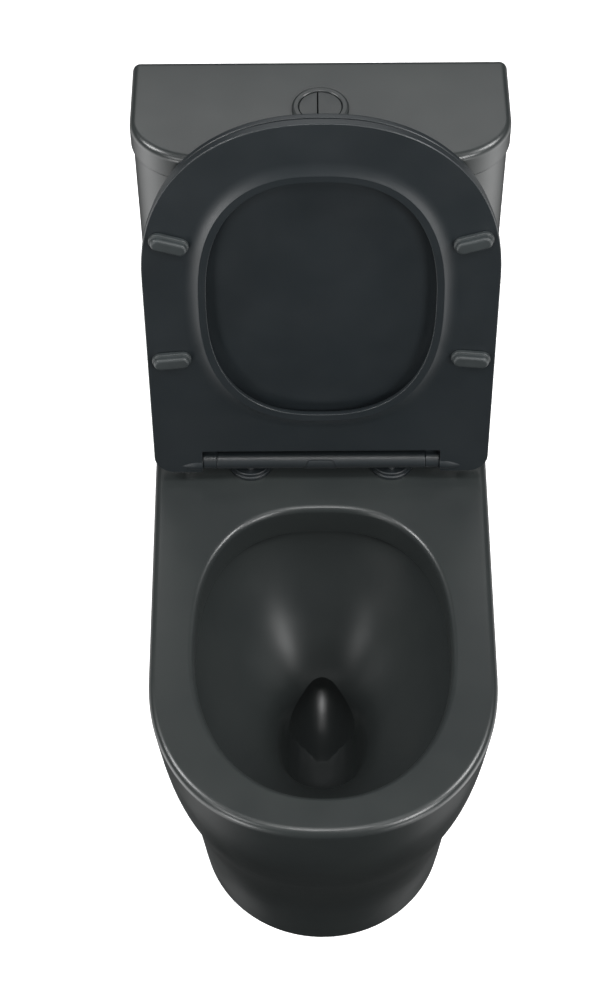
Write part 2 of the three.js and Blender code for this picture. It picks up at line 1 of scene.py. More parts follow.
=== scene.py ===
"""Close coupled toilet in matte black: fine meshes, materials, camera and light around the CAD frame."""

import json
import math

import bmesh
import bpy
from mathutils import Matrix, Vector

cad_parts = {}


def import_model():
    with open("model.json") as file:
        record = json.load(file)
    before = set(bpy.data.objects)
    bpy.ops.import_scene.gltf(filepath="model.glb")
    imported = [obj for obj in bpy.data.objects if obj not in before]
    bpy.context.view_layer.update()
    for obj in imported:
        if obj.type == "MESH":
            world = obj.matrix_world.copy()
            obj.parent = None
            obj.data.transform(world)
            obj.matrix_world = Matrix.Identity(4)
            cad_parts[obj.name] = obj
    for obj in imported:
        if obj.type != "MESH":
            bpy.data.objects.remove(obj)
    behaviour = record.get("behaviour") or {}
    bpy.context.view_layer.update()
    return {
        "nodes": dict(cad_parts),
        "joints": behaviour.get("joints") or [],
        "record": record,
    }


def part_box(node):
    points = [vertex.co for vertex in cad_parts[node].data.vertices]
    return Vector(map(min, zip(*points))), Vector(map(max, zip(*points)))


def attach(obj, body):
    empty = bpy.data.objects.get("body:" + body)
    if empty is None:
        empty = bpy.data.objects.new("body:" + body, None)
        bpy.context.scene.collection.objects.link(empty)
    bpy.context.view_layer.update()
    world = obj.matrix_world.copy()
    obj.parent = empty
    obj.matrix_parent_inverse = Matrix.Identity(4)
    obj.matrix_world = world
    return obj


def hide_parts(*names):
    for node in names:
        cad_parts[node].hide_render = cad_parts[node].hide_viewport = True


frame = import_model()

mm = 0.001

# ---- places and sizes, from the frame ----------------------------------------------------------------

pan_low, pan_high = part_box("pan")
lid_low, lid_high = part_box("cistern_lid")
tank_low, tank_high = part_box("cistern_tank")
bezel_low, bezel_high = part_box("flush_bezel")
disc_low, disc_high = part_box("hinge_disc_right")
barrel_low, barrel_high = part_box("hinge_barrel")

WALL = pan_high.y
FRONT = pan_low.y
RIM = pan_high.z
LENGTH = WALL - FRONT
LID_HINGE = next(j for j in frame["joints"] if j["name"] == "lid_hinge")
HINGE = Vector(LID_HINGE["pos_m"])
RAISED = math.radians(LID_HINGE["range_deg"][1])

# pan
RIM_HALF = 181.5 * mm
DECK_HALF = 186 * mm
RIM_SHOULDER = 470 * mm
FOOT_HALF = 139 * mm
FOOT_SHOULDER = 428 * mm
FOOT_LENGTH = 567 * mm
PAN_WALL = 14 * mm
DECK = 20 * mm
BOWL_CENTRE = 439 * mm
BOWL_HALF_WIDTH = 134 * mm
BOWL_HALF_LENGTH = 179 * mm
LIP = 40 * mm
UNDERCUT = 6 * mm
SHELL = 12 * mm
SUMP_CENTRE = 425 * mm
SUMP_HALF_WIDTH = 46 * mm
SUMP_HALF_LENGTH = 58 * mm
SUMP_TOP = 215 * mm
SUMP_FLOOR = 132 * mm
TRAP_RADIUS = 38 * mm
OUTLET = 185 * mm
VALVE = 72 * mm
INLET_X = -130 * mm
BOLT_X = 75 * mm
DISC_X = (disc_low.x + disc_high.x) / 2
DISC_Y = (disc_low.y + disc_high.y) / 2

# cistern
CORNER_WIDTH = 75 * mm
CORNER_DEPTH = 60 * mm
OVERHANG = lid_high.x - tank_high.x
TANK_WALL = 11 * mm
TANK_FLOOR = 14 * mm
LID_HALF = lid_high.x
LID_DEPTH = lid_high.y - lid_low.y
SKIRT = 12 * mm
LID_BASE = lid_low.z + SKIRT
BUTTON = WALL - (bezel_low.y + bezel_high.y) / 2

# seat and lid, shut: x across, forward and up from the hinge axis
SEAT_HALF = 181.85 * mm
SEAT_LENGTH = 453.7 * mm
SEAT_SHOULDER = 262 * mm
SEAT_REAR = -9 * mm
SEAT_LOW = -10.5 * mm
SEAT_HIGH = -0.5 * mm
SEAT_NOTCH = 22 * mm
HOLE_CENTRE = 232.7 * mm
HOLE_HALF_LENGTH = 153.9 * mm
HOLE_HALF_WIDTH = 117.5 * mm
LIP_HEIGHT = 3.2 * mm
LIP_SLOPE = 15 * mm
LIP_BAND = 8 * mm
TOP_ROLL = 12 * mm
COVER_LOW = 3 * mm
COVER_HIGH = 11.5 * mm
COVER_INSET = 2 * mm
BARREL_HALF = barrel_high.x
BARREL_RADIUS = (barrel_high.z - barrel_low.z) / 2
EAR_OUTER = 129.2 * mm
LUG_OUTER = 151 * mm
EAR_RADIUS = 9.6 * mm


def from_wall(distance):
    return WALL - distance


def mix(a, b, t):
    return a + (b - a) * t


# ---- mesh helpers ------------------------------------------------------------------------------------


def make(name, vertices, faces):
    mesh = bpy.data.meshes.new(name)
    mesh.from_pydata(vertices, [], faces)
    mesh.update()
    piece = bpy.data.objects.new(name, mesh)
    bpy.context.scene.collection.objects.link(piece)
    return piece


def loft(name, rings):
    """A closed skin over equally long rings, counter-clockwise from above and stacked upwards."""
    count = len(rings[0])
    vertices = [point for ring in rings for point in ring]
    faces = [tuple(range(count))[::-1]]
    for level in range(len(rings) - 1):
        base = level * count
        for i in range(count):
            j = (i + 1) % count
            faces.append((base + i, base + j, base + count + j, base + count + i))
    faces.append(tuple(range((len(rings) - 1) * count, len(rings) * count)))
    return make(name, vertices, faces)


def at_height(outline, z):
    return [(x, y, z) for x, y in outline]


def super_arc(cx, cy, half_x, half_y, exponent, start, end, steps):
    points = []
    for i in range(steps + 1):
        angle = math.radians(mix(start, end, i / steps))
        c, s = math.cos(angle), math.sin(angle)
        x = cx + half_x * math.copysign(abs(c) ** (2 / exponent), c)
        y = cy + half_y * math.copysign(abs(s) ** (2 / exponent), s)
        points.append((x, y))
    return points


def circle(x, y, radius, sides=64):
    return super_arc(x, y, radius, radius, 2, 0, 360 - 360 / sides, sides - 1)


def cylinder(name, x, y, low, high, radius, sides=64):
    outline = circle(x, y, radius, sides)
    return loft(name, [at_height(outline, low), at_height(outline, high)])


def block(name, x, y, z):
    outline = [(x[0], y[0]), (x[1], y[0]), (x[1], y[1]), (x[0], y[1])]
    return loft(name, [at_height(outline, z[0]), at_height(outline, z[1])])


def rounding(radius, steps, start=0, end=90):
    """(inset, drop) pairs of a rounded edge, from the side wall to the top face."""
    pairs = []
    for i in range(steps + 1):
        angle = math.radians(mix(start, end, i / steps))
        pairs.append((radius * (1 - math.cos(angle)), radius * (1 - math.sin(angle))))
    return pairs


def turned(name, x, y, profile, sides=96):
    """A turned piece standing at x, y. The profile lists (radius, height) and closes on itself."""
    vertices = []
    for radius, z in profile:
        vertices += at_height(circle(x, y, max(radius, 1e-6), sides), z)
    count = len(profile)
    faces = []
    for row in range(count):
        base, above = row * sides, ((row + 1) % count) * sides
        for i in range(sides):
            j = (i + 1) % sides
            faces.append((base + i, base + j, above + j, above + i))
    piece = make(name, vertices, faces)
    weld(piece)
    return piece


def weld(piece):
    bm = bmesh.new()
    bm.from_mesh(piece.data)
    bmesh.ops.remove_doubles(bm, verts=bm.verts, dist=2e-6)
    bmesh.ops.dissolve_degenerate(bm, dist=1e-7, edges=bm.edges)
    bmesh.ops.recalc_face_normals(bm, faces=bm.faces)
    bm.to_mesh(piece.data)
    bm.free()


def rounded_profile(corners, steps=5):
    """A closed profile from (radius, height, rounding) corners, each corner turned into an arc."""
    points = []
    count = len(corners)
    for i, (r, z, fillet) in enumerate(corners):
        here = Vector((r, z))
        if fillet <= 0:
            points.append((r, z))
            continue
        before = Vector(corners[i - 1][:2]) - here
        after = Vector(corners[(i + 1) % count][:2]) - here
        points += arc_corner(here, before, after, fillet, steps)
    return points


def arc_corner(here, before, after, radius, steps):
    a, b = before.normalized(), after.normalized()
    half = math.acos(max(-1, min(1, a.dot(b)))) / 2
    reach = min(radius / math.tan(half), before.length * 0.49, after.length * 0.49)
    radius = reach * math.tan(half)
    centre = here + (a + b).normalized() * radius / math.sin(half)
    first = here + a * reach - centre
    last = here + b * reach - centre
    turn = math.atan2(first.x * last.y - first.y * last.x, first.dot(last))
    arc = []
    for i in range(steps + 1):
        angle = turn * i / steps
        c, s = math.cos(angle), math.sin(angle)
        arc.append((centre.x + first.x * c - first.y * s, centre.y + first.x * s + first.y * c))
    return arc


def shrink(outline, inset):
    """Moves each point of a closed outline inwards along the mean of its two edge normals."""
    if inset == 0:
        return list(outline)
    moved = []
    count = len(outline)
    for i, (x, y) in enumerate(outline):
        before = Vector(outline[i - 1])
        after = Vector(outline[(i + 1) % count])
        here = Vector((x, y))
        a = (here - before).normalized()
        b = (after - here).normalized()
        normal = Vector((-(a.y + b.y), a.x + b.x)).normalized()
        stretch = max(0.5, normal.dot(Vector((-a.y, a.x))))
        moved.append((x + normal.x * inset / stretch, y + normal.y * inset / stretch))
    return moved


def pipe(name, route, radius, sides=48, steps=48):
    """A round pipe in the plane x = 0 through points given as (distance from the wall, height)."""
    points = smooth_path([(from_wall(d), z) for d, z in route], steps)
    rings = []
    for i, (y, z) in enumerate(points):
        ahead = points[min(i + 1, len(points) - 1)]
        behind = points[max(i - 1, 0)]
        along = Vector((ahead[0] - behind[0], ahead[1] - behind[1])).normalized()
        ring = circle(0, 0, radius, sides)
        rings.append([(across, y + rise * along.y, z - rise * along.x) for across, rise in ring])
    return loft(name, rings)


def smooth_path(points, steps):
    """Even steps along a Catmull-Rom spline through the points."""
    spans = len(points) - 1
    path = []
    for i in range(steps + 1):
        t = i / steps * spans
        k = min(int(t), spans - 1)
        t -= k
        before = points[max(k - 1, 0)]
        p, q = points[k], points[k + 1]
        after = points[min(k + 2, spans)]
        path.append(
            tuple(
                0.5
                * (
                    2 * p[a]
                    + (q[a] - before[a]) * t
                    + (2 * before[a] - 5 * p[a] + 4 * q[a] - after[a]) * t * t
                    + (3 * p[a] - before[a] - 3 * q[a] + after[a]) * t**3
                )
                for a in (0, 1)
            )
        )
    return path


def along_x(piece, y, z):
    """Lays a piece that stands on the origin along the x axis, on the line y, z."""
    turn = Matrix.Translation((0, y, z)) @ Matrix.Rotation(math.pi / 2, 4, "Y")
    piece.data.transform(turn)
    return piece


def combine(base, add=(), cut=(), within=()):
    """Joins and cuts solids. The operands are used up."""
    for operation, pieces in (("INTERSECT", within), ("UNION", add), ("DIFFERENCE", cut)):
        for piece in pieces:
            modifier = base.modifiers.new(operation, "BOOLEAN")
            modifier.operation = operation
            modifier.solver = "MANIFOLD"
            modifier.object = piece
            graph = bpy.context.evaluated_depsgraph_get()
            mesh = bpy.data.meshes.new_from_object(base.evaluated_get(graph))
            base.modifiers.clear()
            base.data = mesh
            bpy.data.objects.remove(piece)
    base.data.name = base.name
    return base


def finish_mesh(piece, angle=32, weighted=True):
    """Smooth shading that keeps real edges, with the flat faces kept flat."""
    mesh = piece.data
    mesh.shade_smooth()
    mesh.set_sharp_from_angle(angle=math.radians(angle))
    if weighted:
        modifier = piece.modifiers.new("normals", "WEIGHTED_NORMAL")
        modifier.keep_sharp = True
        modifier.weight = 80
    return piece


def dress(piece, material, body, slot, *nodes, angle=32):
    finish_mesh(piece, angle)
    piece.data.materials.clear()
    piece.data.materials.append(material)
    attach(piece, body)
    if nodes:
        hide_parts(*nodes)
    return piece


# ---- materials ---------------------------------------------------------------------------------------


class Surface:
    """A node material: object-space noise for bump, roughness and colour on one principled shader."""

    def __init__(self, name, colour, roughness, metallic=0.0, **sockets):
        self.material = bpy.data.materials.new(name)
        self.material.use_nodes = True
        self.nodes = self.material.node_tree.nodes
        self.links = self.material.node_tree.links
        self.shader = self.nodes["Principled BSDF"]
        self.shader.inputs["Base Color"].default_value = (*colour, 1)
        self.shader.inputs["Roughness"].default_value = roughness
        self.shader.inputs["Metallic"].default_value = metallic
        for socket, value in sockets.items():
            self.shader.inputs[socket.replace("_", " ")].default_value = value
        self.place = self.nodes.new("ShaderNodeTexCoord").outputs["Object"]
        self.normal = None

    def noise(self, scale, detail=3.0, stretch=None):
        place = self.place
        if stretch:
            mapping = self.nodes.new("ShaderNodeMapping")
            mapping.inputs["Scale"].default_value = stretch
            self.links.new(place, mapping.inputs["Vector"])
            place = mapping.outputs["Vector"]
        node = self.nodes.new("ShaderNodeTexNoise")
        node.inputs["Scale"].default_value = scale
        node.inputs["Detail"].default_value = detail
        self.links.new(place, node.inputs["Vector"])
        return node.outputs["Fac"]

    def spread(self, value, low, high, source=(0.3, 0.7)):
        node = self.nodes.new("ShaderNodeMapRange")
        node.inputs["From Min"].default_value = source[0]
        node.inputs["From Max"].default_value = source[1]
        node.inputs["To Min"].default_value = low
        node.inputs["To Max"].default_value = high
        self.links.new(value, node.inputs["Value"])
        return node.outputs["Result"]

    def bump(self, value, distance, strength=1.0):
        node = self.nodes.new("ShaderNodeBump")
        node.inputs["Distance"].default_value = distance
        node.inputs["Strength"].default_value = strength
        self.links.new(value, node.inputs["Height"])
        if self.normal:
            self.links.new(self.normal, node.inputs["Normal"])
        self.normal = node.outputs["Normal"]
        self.links.new(self.normal, self.shader.inputs["Normal"])
        return self

    def vary_roughness(self, value, low, high):
        self.links.new(self.spread(value, low, high), self.shader.inputs["Roughness"])
        return self

    def vary_colour(self, value, first, second, source=(0.35, 0.65)):
        node = self.nodes.new("ShaderNodeMix")
        node.data_type = "RGBA"
        node.inputs["A"].default_value = (*first, 1)
        node.inputs["B"].default_value = (*second, 1)
        self.links.new(self.spread(value, 0, 1, source), node.inputs["Factor"])
        self.links.new(node.outputs["Result"], self.shader.inputs["Base Color"])
        return self


def matte_glaze():
    """Matte charcoal glaze: faint cloudy tone, uneven gloss and a fine eggshell grain.

    A faint even emission lifts the deepest shadows. A real glaze has none.
    """
    shadow_lift = 0.005
    s = Surface("black_ceramic", (0.016, 0.0186, 0.0186), 0.32)
    s.shader.inputs["Emission Color"].default_value = (0.9, 1, 1, 1)
    s.shader.inputs["Emission Strength"].default_value = shadow_lift
    s.vary_colour(s.noise(9, 4), (0.0145, 0.0171, 0.0174), (0.0178, 0.0207, 0.0204))
    s.vary_roughness(s.noise(26, 5), 0.29, 0.345)
    s.bump(s.noise(70, 3), 0.00012, 0.35)
    s.bump(s.noise(2600, 2), 0.00002, 0.35)
    return s.material


def moulded(name, colour, roughness, grain=2200, depth=0.00003):
    """Moulded plastic: fine spark-eroded grain with slight flow marks in its gloss."""
    s = Surface(name, colour, roughness)
    lighter = tuple(1.12 * c for c in colour)
    s.vary_colour(s.noise(14, 3), colour, lighter)
    s.vary_roughness(s.noise(18, 4, (1, 0.35, 1)), roughness - 0.03, roughness + 0.03)
    s.bump(s.noise(grain, 2), depth, 0.4)
    return s.material


def rubber(name, colour, roughness=0.62):
    s = Surface(name, colour, roughness)
    s.vary_colour(s.noise(60, 3), colour, tuple(1.25 * c for c in colour))
    s.bump(s.noise(1400, 3), 0.00005, 0.5)
    return s.material


def metal(name, colour, roughness, stretch=(1, 1, 22)):
    """Turned or drawn metal: fine marks along one direction."""
    s = Surface(name, colour, roughness, 1.0)
    marks = s.noise(420, 4, stretch)
    s.vary_roughness(marks, roughness - 0.07, roughness + 0.09)
    s.vary_colour(s.noise(40, 3), colour, tuple(0.86 * c for c in colour))
    s.bump(marks, 0.00002, 0.3)
    return s.material


CERAMIC = matte_glaze()
SEAT_PLASTIC = moulded("black_seat", (0.0095, 0.0125, 0.0145), 0.4)
HINGE_PLASTIC = moulded("black_plastic", (0.0105, 0.0135, 0.0155), 0.42)
BUTTON_PLASTIC = moulded("black_button", (0.016, 0.0185, 0.019), 0.36)
WHITE_PLASTIC = moulded("white_plastic", (0.62, 0.63, 0.6), 0.38)
GREY_PLASTIC = moulded("grey_plastic", (0.2, 0.215, 0.225), 0.42)
BUFFER_RUBBER = rubber("buffer_rubber", (0.017, 0.021, 0.022), 0.5)
BLACK_RUBBER = rubber("black_rubber", (0.012, 0.012, 0.012), 0.7)
BRASS = metal("brass", (0.62, 0.44, 0.19), 0.3)
STEEL = metal("steel", (0.56, 0.57, 0.58), 0.28)
SLOT_MATERIALS = {
    "black_ceramic": CERAMIC,
    "black_seat": SEAT_PLASTIC,
    "black_plastic": HINGE_PLASTIC,
    "black_button": BUTTON_PLASTIC,
    "white_plastic": WHITE_PLASTIC,
    "grey_plastic": GREY_PLASTIC,
    "buffer_rubber": BUFFER_RUBBER,
    "black_rubber": BLACK_RUBBER,
    "brass": BRASS,
    "steel": STEEL,
}

# ---- pan ---------------------------------------------------------------------------------------------


def smoothstep(value, low, high):
    t = max(0.0, min(1.0, (value - low) / (high - low)))
    return t * t * (3 - 2 * t)


def pan_outline(z, inset=0.0, back=None, corner=4 * mm, steps=140):
    """The pan's outline at a height: straight sides with small back corners, and a rounded front."""
    back = WALL if back is None else back
    flare = max(0.0, min(1.0, z / RIM))
    reach = smoothstep(flare, 0.13, 0.9)
    shoulder = mix(FOOT_SHOULDER, RIM_SHOULDER, reach)
    front = mix(FOOT_LENGTH, LENGTH, reach) - inset
    half = mix(FOOT_HALF, RIM_HALF, flare) - inset
    back_half = mix(FOOT_HALF, DECK_HALF, flare) - inset
    nose = super_arc(0, from_wall(shoulder), half, front - shoulder, mix(2, 2.25, flare), 180, 360, steps)
    left = super_arc(-back_half + corner, back - corner, corner, corner, 2, 90, 180, 6)
    right = super_arc(back_half - corner, back - corner, corner, corner, 2, 0, 90, 6)
    sides = [mix(0.1, 0.9, i / 5) for i in range(6)]
    start, end = Vector(left[-1]), Vector(nose[0])
    left += [tuple(start.lerp(end, t)) for t in sides]
    start, end = Vector(nose[-1]), Vector(right[0])
    right = [tuple(start.lerp(end, t)) for t in sides] + right
    return left + nose + right


def pan_body():
    rings = []
    foot_round = 3 * mm
    for inset, drop in rounding(foot_round, 4)[::-1]:
        rings.append(at_height(pan_outline(0, inset), drop))
    levels = 26
    rim_round = 9 * mm
    for i in range(1, levels + 1):
        z = mix(foot_round, RIM - rim_round, i / (levels + 1))
        rings.append(at_height(pan_outline(z), z))
    for inset, drop in rounding(rim_round, 10):
        z = RIM - drop
        rings.append(at_height(pan_outline(z, inset), z))
    for inset in (12 * mm, 16 * mm):
        rings.append(at_height(pan_outline(RIM, inset), RIM))
    return loft("pan", rings)


def pan_hollow():
    rings = []
    top = RIM - DECK
    levels = 14
    rings.append(at_height(pan_outline(0, PAN_WALL, WALL + 0.01), -0.01))
    for i in range(levels + 1):
        z = mix(0, top - 10 * mm, i / levels)
        rings.append(at_height(pan_outline(z, PAN_WALL, WALL + 0.01), z))
    for inset, drop in rounding(10 * mm, 5)[1:]:
        rings.append(at_height(pan_outline(top, PAN_WALL + inset, WALL + 0.01), top - drop))
    return loft("pan_hollow", rings)


def bowl_outline(centre, half_width, half_length, steps=72):
    y = from_wall(centre)
    back = super_arc(0, y, half_width, half_length, 2.55, 0, 180, steps)
    nose = super_arc(0, y, half_width, half_length, 2.2, 180, 360, steps)
    return back[:-1] + nose[:-1]


def soften(value, least, width):
    return least + width * math.log(1 + math.exp((value - least) / width))


def bowl_ring(z, grow):
    """The sloping bowl's outline at a height, running into the sump's walls over a soft edge."""
    slope_top = RIM - LIP - 4 * mm
    depth = (slope_top - z) / (slope_top - SUMP_TOP)
    slope = max(depth, 0) ** 1.6 if depth < 1 else 1 + 1.6 * (depth - 1)
    return bowl_outline(
        mix(BOWL_CENTRE, SUMP_CENTRE, min(1, slope)),
        soften(mix(BOWL_HALF_WIDTH + UNDERCUT, SUMP_HALF_WIDTH, slope), SUMP_HALF_WIDTH, 12 * mm) + grow,
        soften(mix(BOWL_HALF_LENGTH + UNDERCUT, SUMP_HALF_LENGTH, slope), SUMP_HALF_LENGTH, 15 * mm) + grow,
    )


def bowl_rings(grow, levels=40):
    """The sloping bowl and its sump, from the floor up to the underside of the rim's upright wall."""
    rings = []
    for rise, scale in ((0, 0.2), (1.5, 0.42), (5, 0.62), (11, 0.78), (20, 0.88), (32, 0.94)):
        outline = bowl_outline(SUMP_CENTRE, SUMP_HALF_WIDTH * scale + grow, SUMP_HALF_LENGTH * scale + grow)
        rings.append(at_height(outline, SUMP_FLOOR + rise * mm - grow))
    for i in range(levels + 1):
        z = mix(185 * mm, RIM - LIP - 6 * mm, i / levels)
        rings.append(at_height(bowl_ring(z, grow), z))
    return rings


def bowl_cavity():
    rings = bowl_rings(0)
    top = RIM - LIP
    turn = 3 * mm
    for inset, drop in rounding(turn, 4)[1:]:
        widen = UNDERCUT - inset
        outline = bowl_outline(BOWL_CENTRE, BOWL_HALF_WIDTH + widen, BOWL_HALF_LENGTH + widen)
        rings.append(at_height(outline, top - 3 * mm - drop))
    for inset, drop in rounding(turn, 4)[::-1][1:]:
        outline = bowl_outline(BOWL_CENTRE, BOWL_HALF_WIDTH + inset, BOWL_HALF_LENGTH + inset)
        rings.append(at_height(outline, top - 3 * mm + drop))
    for i in range(1, 5):
        z = mix(top, RIM - 7 * mm, i / 5)
        rings.append(at_height(bowl_outline(BOWL_CENTRE, BOWL_HALF_WIDTH, BOWL_HALF_LENGTH), z))
    edge = 7 * mm
    for inset, drop in rounding(edge, 9):
        outline = bowl_outline(BOWL_CENTRE, BOWL_HALF_WIDTH + inset, BOWL_HALF_LENGTH + inset)
        rings.append(at_height(outline, RIM - drop))
    rings.append(at_height(outline, RIM + 0.01))
    return loft("bowl_cavity", rings)


def bowl_shell():
    grow = UNDERCUT + SHELL
    top = bowl_outline(BOWL_CENTRE, BOWL_HALF_WIDTH + grow, BOWL_HALF_LENGTH + grow)
    return loft("bowl_shell", bowl_rings(SHELL) + [at_height(top, RIM - DECK / 2)])


def trap_route(end):
    points = ((410, 170), (365, 172), (318, 200), (280, 236), (235, 240), (195, 215), (150, 187), (110, 185))
    return [(d * mm, z * mm) for d, z in points] + [(end, OUTLET)]


FLUSH_ROUTE = [(d * mm, z * mm) for d, z in ((72, 384), (80, 357), (110, 346), (180, 346), (245, 358))]


def pan():
    y = from_wall(VALVE)
    under = RIM - DECK
    solid = combine(pan_body(), cut=[pan_hollow()])
    outlet = trap_route(25 * mm)
    solid = combine(
        solid,
        add=[
            bowl_shell(),
            pipe("trap_outside", outlet, TRAP_RADIUS + SHELL, 72, 72),
            pipe("flush_outside", FLUSH_ROUTE, 32 * mm, 48, 32),
            cylinder("inlet_boss", 0, y, 364 * mm, under + 5 * mm, 57 * mm, 80),
        ],
    )
    slot_y = (from_wall(266 * mm), from_wall(238 * mm))
    cuts = [
        bowl_cavity(),
        pipe("trap_inside", trap_route(20 * mm), TRAP_RADIUS, 72, 72),
        pipe("flush_inside", FLUSH_ROUTE, 23 * mm, 48, 32),
        cylinder("inlet_well", 0, y, 376 * mm, RIM + 0.01, 49 * mm, 80),
        block("flush_slot", (-36 * mm, 36 * mm), slot_y, (368 * mm, 375 * mm)),
        cylinder("inlet_hole", INLET_X, y, under - 0.01, RIM + 0.01, 24 * mm),
    ]
    for side in (-1, 1):
        cuts.append(cylinder("hinge_hole", side * DISC_X, DISC_Y, under - 0.01, RIM + 0.01, 8 * mm, 40))
        cuts.append(cylinder("bolt_hole", side * BOLT_X, y, under - 0.01, RIM + 0.01, 7 * mm, 40))
        for start, radius in ((120, 4), (141.5, 9.3)):
            ends = sorted((side * start * mm, side * 160 * mm))
            hole = cylinder("side_hole", 0, 0, ends[0], ends[1], radius * mm, 40)
            cuts.append(along_x(hole, from_wall(150 * mm), 45 * mm))
    return combine(solid, cut=cuts)


dress(pan(), CERAMIC, "toilet", "black_ceramic", "pan", angle=28)

# ---- cistern -----------------------------------------------------------------------------------------


def cistern_outline(inset, steps=40):
    a, b = CORNER_WIDTH - inset, CORNER_DEPTH - inset
    corner_x = LID_HALF - CORNER_WIDTH
    corner_y = from_wall(LID_DEPTH - CORNER_DEPTH)
    radius = max(1.5 * mm, 8 * mm - inset)
    rear_x, rear_y = LID_HALF - inset - radius, WALL - inset - radius
    return (
        super_arc(-rear_x, rear_y, radius, radius, 2, 90, 180, 8)
        + super_arc(-corner_x, corner_y, a, b, 2, 180, 270, steps)
        + super_arc(corner_x, corner_y, a, b, 2, 270, 360, steps)
        + super_arc(rear_x, rear_y, radius, radius, 2, 0, 90, 8)
    )


def cistern_rings(steps):
    """Rings from (inset, height) pairs."""
    return [at_height(cistern_outline(inset), z) for inset, z in steps]


def cistern_tank():
    floor = tank_low.z
    top = tank_high.z
    inner = OVERHANG + TANK_WALL
    inside = floor + TANK_FLOOR
    steps = [(OVERHANG + inset, floor + drop) for inset, drop in rounding(3 * mm, 5)[::-1]]
    steps += [(OVERHANG, mix(floor, top, i / 12)) for i in range(1, 12)]
    steps += [(OVERHANG + inset, top - drop) for inset, drop in rounding(1.2 * mm, 5)]
    steps += [(inner - inset, top - drop) for inset, drop in rounding(2.5 * mm, 5)[::-1]]
    steps += [(inner, mix(top, inside, i / 6)) for i in range(1, 6)]
    steps += [(inner + inset, inside + drop) for inset, drop in rounding(12 * mm, 5)]
    body = loft("cistern_tank", cistern_rings(steps))
    y = from_wall(VALVE)
    low, high = floor - 0.01, inside + 0.01
    holes = [(0, 32), (INLET_X, 10.6), (-BOLT_X, 5), (BOLT_X, 5)]
    cuts = [cylinder("tank_hole", x, y, low, high, radius * mm, 48) for x, radius in holes]
    return combine(body, cut=cuts)


def cistern_lid():
    top = lid_high.z
    skirt = OVERHANG + TANK_WALL + 1.5 * mm
    steps = [(skirt + 6 * mm, lid_low.z), (skirt + 1 * mm, lid_low.z), (skirt, lid_low.z + 1 * mm)]
    steps += [(skirt, LID_BASE - 1 * mm), (skirt - 1 * mm, LID_BASE)]
    steps += [(inset, LID_BASE + drop) for inset, drop in rounding(1.2 * mm, 4)[::-1]]
    steps += [(0, mix(LID_BASE, top, i / 6)) for i in range(1, 5)]
    steps += [(inset, top - drop) for inset, drop in rounding(8 * mm, 12)]
    steps += [(12 * mm, top), (18 * mm, top)]
    body = loft("cistern_lid", cistern_rings(steps))
    inside = [(skirt + 6 * mm, lid_low.z - 0.01), (skirt + 6 * mm, top - 16 * mm)]
    inside += [(skirt + 6 * mm + inset, top - 10 * mm - drop) for inset, drop in rounding(6 * mm, 4)]
    hollow = loft("lid_hollow", cistern_rings(inside))
    hole = cylinder("button_hole", 0, from_wall(BUTTON), LID_BASE, top + 0.01, 24.5 * mm, 96)
    return combine(body, cut=[hollow, hole])


dress(cistern_tank(), CERAMIC, "toilet", "black_ceramic", "cistern_tank")
dress(cistern_lid(), CERAMIC, "toilet", "black_ceramic", "cistern_lid")

# ---- flush buttons -----------------------------------------------------------------------------------

BUTTON_RADIUS = 21.3 * mm
SPLIT = -2.7 * mm


def flush_bezel():
    top = bezel_high.z
    deck = lid_high.z + 0.3 * mm
    corners = [
        (21.8 * mm, 798 * mm, 0),
        (0, 798 * mm, 0),
        (0, 794 * mm, 0),
        (24 * mm, 794 * mm, 0.4 * mm),
        (24 * mm, deck, 0),
        (28.6 * mm, deck, 0.2 * mm),
        (28.6 * mm, top - 1.6 * mm, 1.4 * mm),
        (26.2 * mm, top, 0.8 * mm),
        (22.6 * mm, top, 0.5 * mm),
        (21.8 * mm, top - 0.8 * mm, 0.3 * mm),
    ]
    ring = turned("flush_bezel", 0, from_wall(BUTTON), rounded_profile(corners), 128)
    holes = []
    for name in ("half_flush_rod", "full_flush_rod"):
        low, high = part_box(name)
        x = (low.x + high.x) / 2
        holes.append(cylinder("rod_hole", x, from_wall(BUTTON), 790 * mm, 800 * mm, 3.9 * mm, 40))
    return combine(ring, cut=holes)


def button_outline(side, inset, steps=96):
    """One side of the round pair of buttons: an arc closed by the split, moved in by the inset."""
    radius = BUTTON_RADIUS - inset
    edge = SPLIT + side * (0.45 * mm + inset)
    reach = math.degrees(math.acos(max(-1, min(1, side * edge / radius))))
    return [(side * x, side * y) for x, y in super_arc(0, 0, radius, radius, 2, -reach, reach, steps)]


def flush_button(name, side):
    """One of the two flush buttons: softened edges and a slightly domed top."""
    low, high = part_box(name)
    y = from_wall(BUTTON)
    crown = 0.45 * mm
    steps = [(0, low.z), (0, high.z - crown - 0.8 * mm)]
    steps += [(inset, high.z - crown - drop) for inset, drop in rounding(0.7 * mm, 5)]
    rings = [[(x, y + v, z) for x, v in button_outline(side, inset)] for inset, z in steps]
    middle = Vector(((SPLIT + side * BUTTON_RADIUS) / 2, y))
    top = rings[-1]
    for i in range(1, 9):
        shrunk = 1 - i / 9
        z = high.z - crown * shrunk**2
        rings.append([(mix(middle.x, px, shrunk), mix(middle.y, py, shrunk), z) for px, py, _ in top])
    return loft(name, rings)


dress(flush_bezel(), BUTTON_PLASTIC, "toilet", "black_button", "flush_bezel")
for kind, side in (("half", -1), ("full", 1)):
    button = f"{kind}_flush_button"
    dress(flush_button(button, side), BUTTON_PLASTIC, f"{kind}_button", "black_button", button)

# ---- hinge bar ---------------------------------------------------------------------------------------


